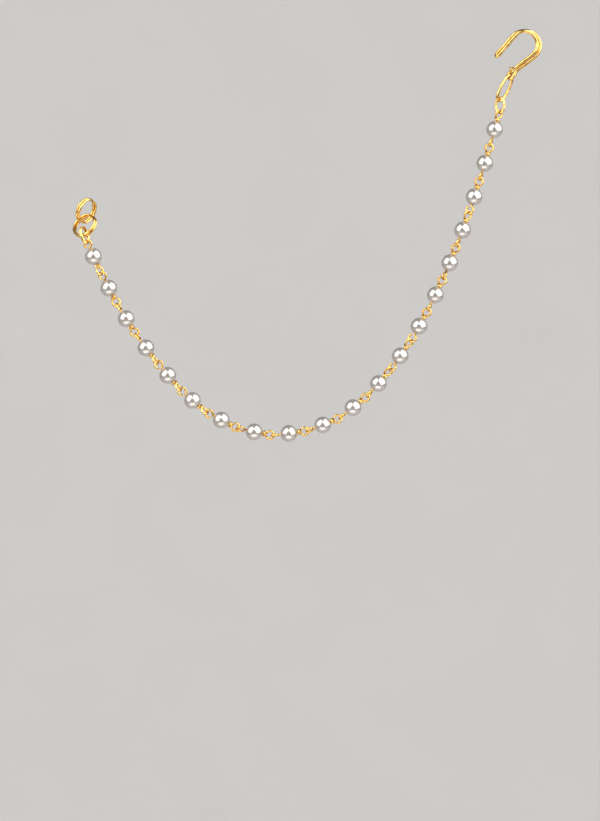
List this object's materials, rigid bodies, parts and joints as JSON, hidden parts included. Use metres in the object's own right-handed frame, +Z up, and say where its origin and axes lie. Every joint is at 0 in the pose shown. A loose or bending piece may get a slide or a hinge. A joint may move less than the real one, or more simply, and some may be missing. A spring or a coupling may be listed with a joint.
{
  "type": "ear chain",
  "caption": "Fine ear chain of drilled pearls wired loop to eye, with a doubled wire ear hook at one end and two linked split rings at the other.",
  "frame": {"origin": "the top of the inside of the ear hook's bend, where the chain hangs", "axes": "+Z up; the chain droops in the XZ plane, from the hook at +X to the split rings at -X; +Y away from the viewer"},
  "size_m": [0.1086, 0.0069, 0.0955],
  "materials": {
    "pearl_glaze": "silvery white pearl coating with a high gloss",
    "gold_wire": "polished gold-plated wire",
    "gold_findings": "polished gold-plated brass"
  },
  "bodies": {
    "root": {"pearl_01": "pearl_glaze", "pearl_02": "pearl_glaze", "pearl_03": "pearl_glaze", "pearl_04": "pearl_glaze", "pearl_05": "pearl_glaze", "pearl_06": "pearl_glaze", "pearl_07": "pearl_glaze", "pearl_08": "pearl_glaze", "pearl_09": "pearl_glaze", "pearl_10": "pearl_glaze", "pearl_11": "pearl_glaze", "pearl_12": "pearl_glaze", "pearl_13": "pearl_glaze", "pearl_14": "pearl_glaze", "pearl_15": "pearl_glaze", "pearl_16": "pearl_glaze", "pearl_17": "pearl_glaze", "pearl_18": "pearl_glaze", "pearl_19": "pearl_glaze", "pearl_20": "pearl_glaze", "bead_wire_01": "gold_wire", "bead_wire_02": "gold_wire", "bead_wire_03": "gold_wire", "bead_wire_04": "gold_wire", "bead_wire_05": "gold_wire", "bead_wire_06": "gold_wire", "bead_wire_07": "gold_wire", "bead_wire_08": "gold_wire", "bead_wire_09": "gold_wire", "bead_wire_10": "gold_wire", "bead_wire_11": "gold_wire", "bead_wire_12": "gold_wire", "bead_wire_13": "gold_wire", "bead_wire_14": "gold_wire", "bead_wire_15": "gold_wire", "bead_wire_16": "gold_wire", "bead_wire_17": "gold_wire", "bead_wire_18": "gold_wire", "bead_wire_19": "gold_wire", "bead_wire_20": "gold_wire", "ear_hook": "gold_findings", "hook_link": "gold_findings", "eye_link": "gold_findings", "ring_link": "gold_findings", "chain_ring": "gold_findings", "ear_ring": "gold_findings"}
  },
  "joints": []
}
